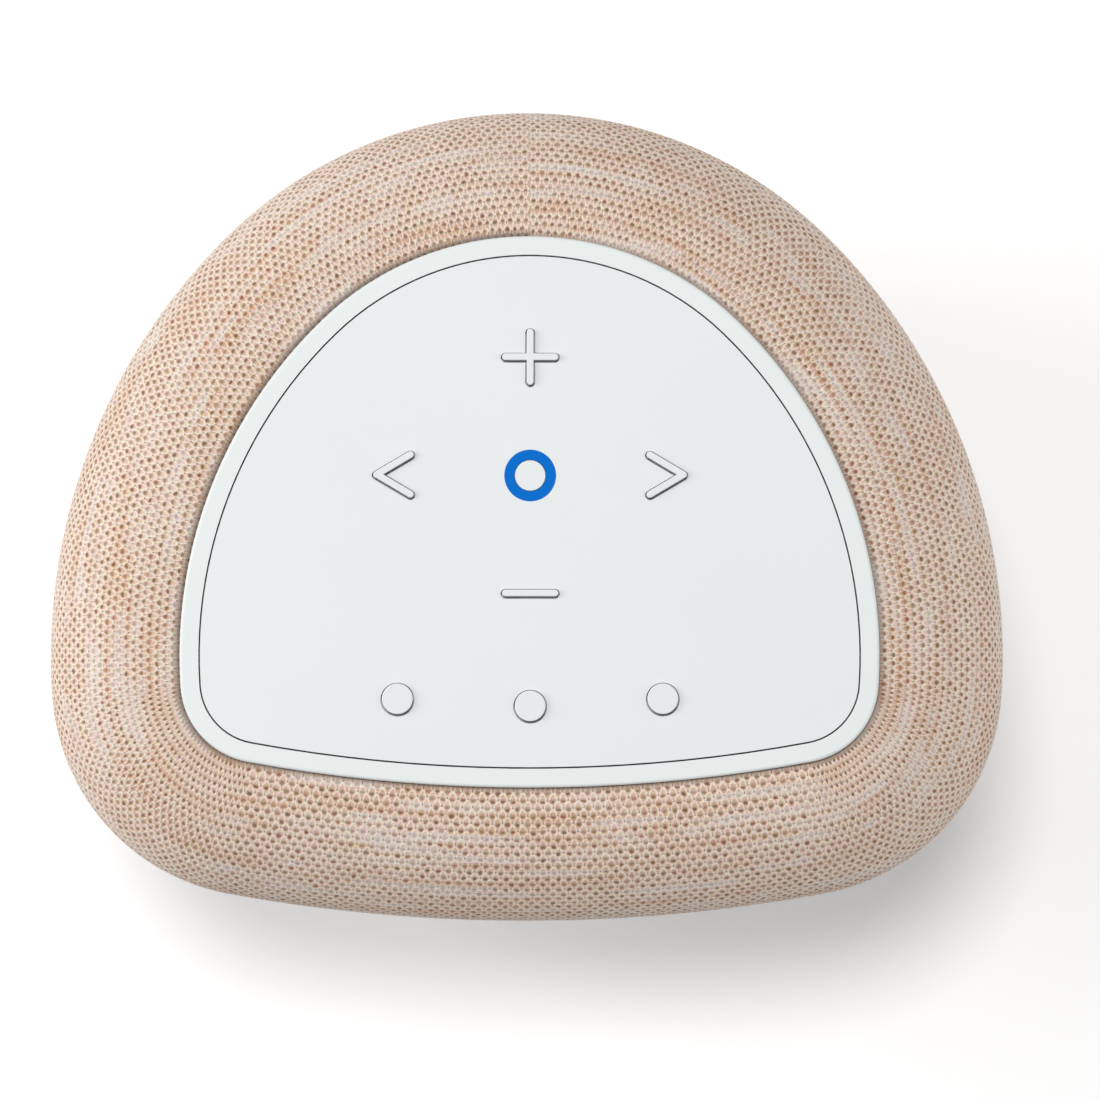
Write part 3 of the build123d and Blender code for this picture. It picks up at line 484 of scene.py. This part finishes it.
def knitMaterial(look):
    material, tree, shader = newMaterial("melangeKnit", 0.88, Sheen_Weight=0.2, Sheen_Roughness=0.5)
    shader.inputs["Specular IOR Level"].default_value = 0.2
    stitches = addNode(tree, "ShaderNodeUVMap", uv_map="stitches").outputs[0]
    pattern = useGroup(tree, knitGroup(look), Vector=stitches)

    def share(name, amount):
        return calc(tree, "MULTIPLY", pattern.outputs[name], amount)

    def tinted(base, amounts, ashColour):
        rustShare, ashShare = amounts
        made = blendColour(tree, share("Rust", rustShare), base, look["rust"])
        return blendColour(tree, share("Ash", ashShare), made, ashColour)

    def lay(name, under, over):
        return blendColour(tree, share(name, look["shares"][name]), under, over)

    # the yarn first, then the raised strands, laid lighter as partly painted highlight, and last the painted
    # shade in the eyes that open between them, in their cores, in the dots and along the top edge
    colour = tinted(look["sand"], look["groundTint"], look["ash"])
    colour = lay("Thread", colour, look["orange"])
    colour = lay("Strand", colour, tinted(look["cream"], look["strandTint"], look["ash"]))
    # painted shade in the eyes
    colour = lay("Eye", colour, tinted(look["eyeShade"], look["eyeTint"], look["ashShade"]))
    tint = pattern.outputs["Tint"]
    # the painted shade in the cores is brown, wine or olive, picked at random for each eye
    coreShadeColour = blendColour(tree, smooth(tree, tint, 0.72, 0.95), look["brown"], look["wine"])
    coreShadeColour = blendColour(tree, calc(tree, "SUBTRACT", 1.0, smooth(tree, tint, 0.1, 0.4)), coreShadeColour, look["olive"])
    colour = lay("CoreShade", colour, coreShadeColour)
    # painted shade: the dots, and next the top edge under the rim
    colour = lay("Dot", colour, look["pitShade"])
    # painted shadow of the rim's lip on the sleeve's top edge
    colour = lay("LipShade", colour, look["pitShade"])
    # each colour channel has its own fine noise, as spun yarn of mixed fibres has
    gain = addNode(tree, "ShaderNodeVectorMath", operation="MULTIPLY_ADD")
    feed(tree, gain.inputs[0], pattern.outputs["Speck"])
    gain.inputs[1].default_value = (look["speck"],) * 3
    gain.inputs[2].default_value = (1 - look["speck"] / 2,) * 3
    mottled = addNode(tree, "ShaderNodeVectorMath", operation="MULTIPLY")
    feed(tree, mottled.inputs[0], colour)
    feed(tree, mottled.inputs[1], gain.outputs[0])
    feed(tree, shader.inputs["Base Color"], mottled.outputs[0])
    addBump(tree, shader, pattern.outputs["Height"], *look["bump"])
    return material


knitSleeve, girth, sleeveLength = buildSleeve(sleeve)
knitSleeve.data.materials.append(knitMaterial(knitLook))
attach(knitSleeve, "root")
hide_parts("fabric_sleeve")
print("sleeve knitted:", len(knitSleeve.data.polygons), "faces")

# plastics and the other carried-over parts

def grainGroup():
    # moulded grain: fine bumps, a slow tone drift and faint scuffs
    inputs = [("Vector", "NodeSocketVector", None), ("Scale", "NodeSocketFloat", 1.0)]
    outputs = [("Height", "NodeSocketFloat"), ("Tone", "NodeSocketFloat"), ("Scuff", "NodeSocketFloat")]
    tree, entry, leave = newGroup("mouldedGrain", inputs, outputs)
    place, scale = entry.outputs["Vector"], entry.outputs["Scale"]
    fine = noiseField(tree, place, calc(tree, "MULTIPLY", scale, 2600.0), 2)
    slow = noiseField(tree, place, calc(tree, "MULTIPLY", scale, 22.0), 3)
    drawn = stretch(tree, place, (1, 14, 3))
    scratch = noiseField(tree, drawn, calc(tree, "MULTIPLY", scale, 60.0), 5, 0.7)
    feed(tree, leave.inputs["Height"], fine)
    feed(tree, leave.inputs["Tone"], slow)
    feed(tree, leave.inputs["Scuff"], smooth(tree, scratch, 0.62, 0.75))
    return tree


grain = grainGroup()


def shaded(tree, colour, amount):
    # a colour made lighter or darker by a varying amount
    made = addNode(tree, "ShaderNodeVectorMath", operation="SCALE")
    made.inputs[0].default_value = colour[:3]
    feed(tree, made.inputs["Scale"], amount)
    return made.outputs[0]


def plastic(name, colour, roughness, grainSize=1.0, drift=0.03, bump=0.15, **sockets):
    material, tree, shader = newMaterial(name, roughness, **sockets)
    marks = useGroup(tree, grain, Vector=objectSpace(tree), Scale=grainSize)
    tone = rescale(tree, marks.outputs["Tone"], 0.3, 0.7, 1 - drift, 1 + drift)
    feed(tree, shader.inputs["Base Color"], shaded(tree, colour, tone))
    rough = rescale(tree, marks.outputs["Scuff"], 0, 1, roughness, min(roughness + 0.12, 1))
    feed(tree, shader.inputs["Roughness"], rough)
    addBump(tree, shader, marks.outputs["Height"], bump, 0.00008)
    return material


def metal(name, colour, roughness, brush, mottle):
    # brush: how many times longer than wide the lines along X are; mottle: how far the tone varies
    material, tree, shader = newMaterial(name, roughness, Metallic=1.0)
    place = objectSpace(tree)
    lines = noiseField(tree, stretch(tree, place, (1, brush, brush)), 180.0, 3, 0.6)
    spangle = noiseField(tree, place, 260.0, 2, 0.5, 1.5)
    streaks = rescale(tree, lines, 0.3, 0.7, 0.93, 1.05)
    tone = calc(tree, "ADD", streaks, rescale(tree, spangle, 0.3, 0.7, -mottle, mottle))
    feed(tree, shader.inputs["Base Color"], shaded(tree, colour, tone))
    dullness = rescale(tree, spangle, 0.3, 0.7, roughness - 0.08, roughness + 0.1)
    feed(tree, shader.inputs["Roughness"], dullness)
    addBump(tree, shader, lines, 0.15, 0.00005)
    return material


dustColour = srgb(150, 148, 144)
tinColour = srgb(205, 203, 196)


def rubber(name, colour, roughness, cells):
    # cells: how many cells of the fine skin texture there are to a metre
    material, tree, shader = newMaterial(name, roughness, Specular_IOR_Level=0.3)
    place = objectSpace(tree)
    skin = addNode(tree, "ShaderNodeTexVoronoi", feature="SMOOTH_F1")
    feed(tree, skin.inputs["Vector"], place)
    skin.inputs["Scale"].default_value = cells
    dust = smooth(tree, noiseField(tree, place, 90.0, 5, 0.7), 0.52, 0.72)
    tone = rescale(tree, noiseField(tree, place, 35.0, 2), 0.3, 0.7, 0.9, 1.1)
    clean = shaded(tree, colour, tone)
    film = calc(tree, "MULTIPLY", dust, 0.12)
    feed(tree, shader.inputs["Base Color"], blendColour(tree, film, clean, dustColour))
    feed(tree, shader.inputs["Roughness"], rescale(tree, dust, 0, 1, roughness, min(roughness + 0.15, 1)))
    addBump(tree, shader, skin.outputs["Distance"], 0.3, 0.0001)
    return material


def circuit(name, colour):
    # copper tracks under green solder mask, and tinned pads
    material, tree, shader = newMaterial(name, 0.35, Coat_Weight=0.2, Coat_Roughness=0.2)
    place = objectSpace(tree)
    tracks = addNode(tree, "ShaderNodeTexVoronoi", feature="F1", distance="MANHATTAN")
    feed(tree, tracks.inputs["Vector"], place)
    tracks.inputs["Scale"].default_value = 160.0
    ripple = calc(tree, "FRACT", calc(tree, "MULTIPLY", tracks.outputs["Distance"], 5.0))
    track = smooth(tree, ripple, 0.52, 0.58)
    pads = addNode(tree, "ShaderNodeTexVoronoi", feature="F1")
    feed(tree, pads.inputs["Vector"], place)
    pads.inputs["Scale"].default_value = 230.0
    pad = calc(tree, "SUBTRACT", 1.0, smooth(tree, pads.outputs["Distance"], 0.16, 0.20))
    some = smooth(tree, noiseField(tree, place, 60.0, 1), 0.48, 0.52)
    pad = calc(tree, "MULTIPLY", pad, some)
    mask = shaded(tree, colour, rescale(tree, track, 0, 1, 0.75, 1.35))
    feed(tree, shader.inputs["Base Color"], blendColour(tree, pad, mask, tinColour))
    feed(tree, shader.inputs["Metallic"], calc(tree, "MULTIPLY", pad, 0.9))
    addBump(tree, shader, calc(tree, "ADD", track, pad), 0.25, 0.00005)
    return material


def pressedPaper(name, colour):
    # cone pulp: matted fibres
    material, tree, shader = newMaterial(name, 0.75, Specular_IOR_Level=0.3)
    place = objectSpace(tree)
    fibres = noiseField(tree, place, 900.0, 4, 0.7, 2.0)
    tone = rescale(tree, fibres, 0.25, 0.75, 0.7, 1.5)
    feed(tree, shader.inputs["Base Color"], shaded(tree, colour, tone))
    feed(tree, shader.inputs["Roughness"], rescale(tree, fibres, 0.3, 0.7, 0.65, 0.85))
    addBump(tree, shader, fibres, 0.4, 0.00012)
    return material


def cloth(name, colour):
    # open cotton weave
    material, tree, shader = newMaterial(name, 0.8, Sheen_Weight=0.2)
    place = addNode(tree, "ShaderNodeSeparateXYZ")
    feed(tree, place.inputs[0], objectSpace(tree))
    turns = 7000.0  # radians to a metre, so the weave repeats every 0.9 mm
    warp = calc(tree, "SINE", calc(tree, "MULTIPLY", place.outputs["X"], turns))
    weft = calc(tree, "SINE", calc(tree, "MULTIPLY", place.outputs["Y"], turns))
    weave = calc(tree, "MULTIPLY", warp, weft)
    feed(tree, shader.inputs["Base Color"], shaded(tree, colour, rescale(tree, weave, -1, 1, 0.7, 1.2)))
    addBump(tree, shader, weave, 0.5, 0.0001)
    return material


def linear(colour):
    return (*colour, 1.0)


topTones = {
    "panel_plastic": srgb(212, 216, 217),
    "rim_plastic": srgb(213, 218, 217),
    "key_plastic": srgb(211, 215, 216),
    # ring_blue stands in for the glow of the LED behind the ring: painted glow in a matte plastic that gives
    # no light of its own
    "ring_blue": srgb(0, 101, 190),
}


def makeFinish(slotName, colour):
    # the fitting kind of material for each of the record's slots
    # painted glow: the LED-lit ring is made as plain blue plastic
    if slotName == "ring_blue":
        return plastic(slotName, topTones[slotName], 0.6, drift=0.02, bump=0.05, Specular_IOR_Level=0.05)
    if slotName in topTones:
        return plastic(slotName, topTones[slotName], 0.55, drift=0.008, bump=0.05, Specular_IOR_Level=0.25)
    if slotName in ("can_steel", "screw_steel", "plated_steel"):
        return metal(slotName, colour, 0.32, brush=12.0 if slotName == "can_steel" else 2.0, mottle=0.05)
    if slotName == "heatsink_aluminium":
        return metal(slotName, colour, 0.42, brush=20.0, mottle=0.03)
    if slotName in ("foam_rubber", "surround_rubber", "foot_rubber", "silicone", "wire_white"):
        return rubber(slotName, colour, 0.6, cells=4200.0 if slotName == "foam_rubber" else 1600.0)
    if slotName == "board_green":
        return circuit(slotName, colour)
    if slotName == "cone_black":
        return pressedPaper(slotName, colour)
    if slotName == "spider_cloth":
        return cloth(slotName, colour)
    if slotName == "ferrite":
        return plastic(slotName, colour, 0.6, grainSize=0.35, drift=0.15, bump=0.4)
    if slotName == "basket_metal":
        return plastic(slotName, colour, 0.45, grainSize=0.6, drift=0.05, bump=0.35)
    if slotName in ("lamp_white", "capacitor_sleeve"):
        return plastic(slotName, colour, 0.22, drift=0.04, bump=0.03, Coat_Weight=0.3)
    if slotName == "base_plastic":
        return plastic(slotName, colour, 0.55, grainSize=0.5, drift=0.02, bump=0.2, Specular_IOR_Level=0.3)
    return plastic(slotName, colour, 0.5, grainSize=0.7, drift=0.06, bump=0.25)


finishes = {
    entry["slot"]: makeFinish(entry["slot"], linear(entry["base_color"][:3]))
    for entry in frame["record"]["materials"] if entry["slot"] != "knit_fabric"
}
for part in frame["record"]["subparts"]:
    if part["material_slot"] in finishes:
        node = frame["nodes"][part["node"]]
        node.data.materials.clear()
        node.data.materials.append(finishes[part["material_slot"]])
print("finishes placed")

# studio

studio = {
    "floorSize": 24.0,
    "floorColour": (0.87, 0.87, 0.87, 1),
    "floorGlow": 0.09,  # the floor glows faintly, as a light table does
    "world": 0.28,
    "lamps": {
        # name: place, size, watts
        "topLamp": ((-0.18, 0.38, 2.50), 0.50, 32),
        "sideLamp": ((-1.50, 0.25, 0.80), 0.9, 18),
        "fillLamp": ((1.50, -0.1, 0.8), 1.2, 8),
    },
}


def areaLamp(name, place, size, power):
    data = bpy.data.lights.new(name, "AREA")
    data.shape = "DISK"
    data.size = size
    data.energy = power
    lamp = bpy.data.objects.new(name, data)
    lamp.location = place
    lamp.rotation_euler = (-Vector(place)).to_track_quat("-Z", "Y").to_euler()
    bpy.context.scene.collection.objects.link(lamp)


def buildStudio(setup):
    half = setup["floorSize"] / 2
    mesh = bpy.data.meshes.new("floor")
    corners = [(-half, -half, 0), (half, -half, 0), (half, half, 0), (-half, half, 0)]
    mesh.from_pydata(corners, [], [(0, 1, 2, 3)])
    floor = bpy.data.objects.new("floor", mesh)
    bpy.context.scene.collection.objects.link(floor)
    material, tree, shader = newMaterial("floorPaper", 0.9)
    shader.inputs["Base Color"].default_value = setup["floorColour"]
    shader.inputs["Specular IOR Level"].default_value = 0
    shader.inputs["Emission Color"].default_value = (1, 1, 1, 1)
    shader.inputs["Emission Strength"].default_value = setup["floorGlow"]
    mesh.materials.append(material)
    world = bpy.data.worlds.new("studio")
    world.use_nodes = True
    world.node_tree.nodes["Background"].inputs["Color"].default_value = (1, 1, 1, 1)
    world.node_tree.nodes["Background"].inputs["Strength"].default_value = setup["world"]
    bpy.context.scene.world = world
    for name, (place, size, power) in setup["lamps"].items():
        areaLamp(name, place, size, power)
    bpy.context.scene.view_settings.view_transform = "Standard"


buildStudio(studio)
print("studio lit")
